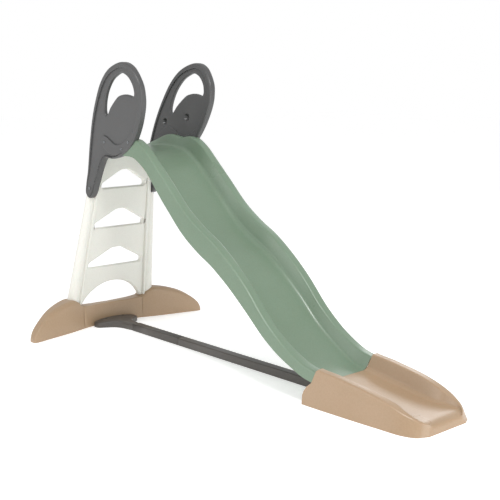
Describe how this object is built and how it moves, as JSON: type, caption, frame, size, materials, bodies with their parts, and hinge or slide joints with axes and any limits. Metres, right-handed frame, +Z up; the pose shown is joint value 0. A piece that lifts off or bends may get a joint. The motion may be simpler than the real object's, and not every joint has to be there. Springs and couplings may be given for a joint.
{
  "type": "wave slide",
  "caption": "Free-standing garden slide with a wavy chute, side ladder panel with hand loops, ground brace and low exit section.",
  "frame": {"origin": "on the ground, under the middle of the bounding box", "axes": "+X down the slide towards the exit, +Y to the slider's left, +Z up"},
  "size_m": [2.506, 1.168, 1.505],
  "materials": {
    "green_plastic": "satin moulded polyethylene, sage green",
    "beige_plastic": "satin moulded polyethylene, sand beige",
    "cream_plastic": "satin blow-moulded polyethylene, warm white",
    "grey_plastic": "satin blow-moulded polyethylene, slate grey",
    "brace_plastic": "satin moulded polyethylene, warm dark grey",
    "zinc_steel": "zinc-plated screws and washers",
    "brass": "turned brass inserts"
  },
  "bodies": {
    "root": {"chute": "green_plastic", "exit_section": "beige_plastic", "base_crossbar": "beige_plastic", "base_foot_left": "beige_plastic", "base_foot_right": "beige_plastic", "ladder": "cream_plastic", "handle_left": "grey_plastic", "handle_right": "grey_plastic", "brace_head": "brace_plastic", "brace_bar": "brace_plastic", "handle_inserts_left": "brass", "handle_inserts_right": "brass", "handle_screws_left": "zinc_steel", "handle_screws_right": "zinc_steel", "handle_tail_screws": "zinc_steel", "rail_foot_screws": "zinc_steel", "crossbar_foot_screws": "zinc_steel", "brace_head_screws": "zinc_steel", "brace_splice_screw": "zinc_steel", "brace_exit_screws": "zinc_steel", "exit_chute_screws": "zinc_steel", "exit_chute_washers": "zinc_steel", "platform_screws": "zinc_steel", "platform_washers": "zinc_steel"}
  },
  "joints": []
}
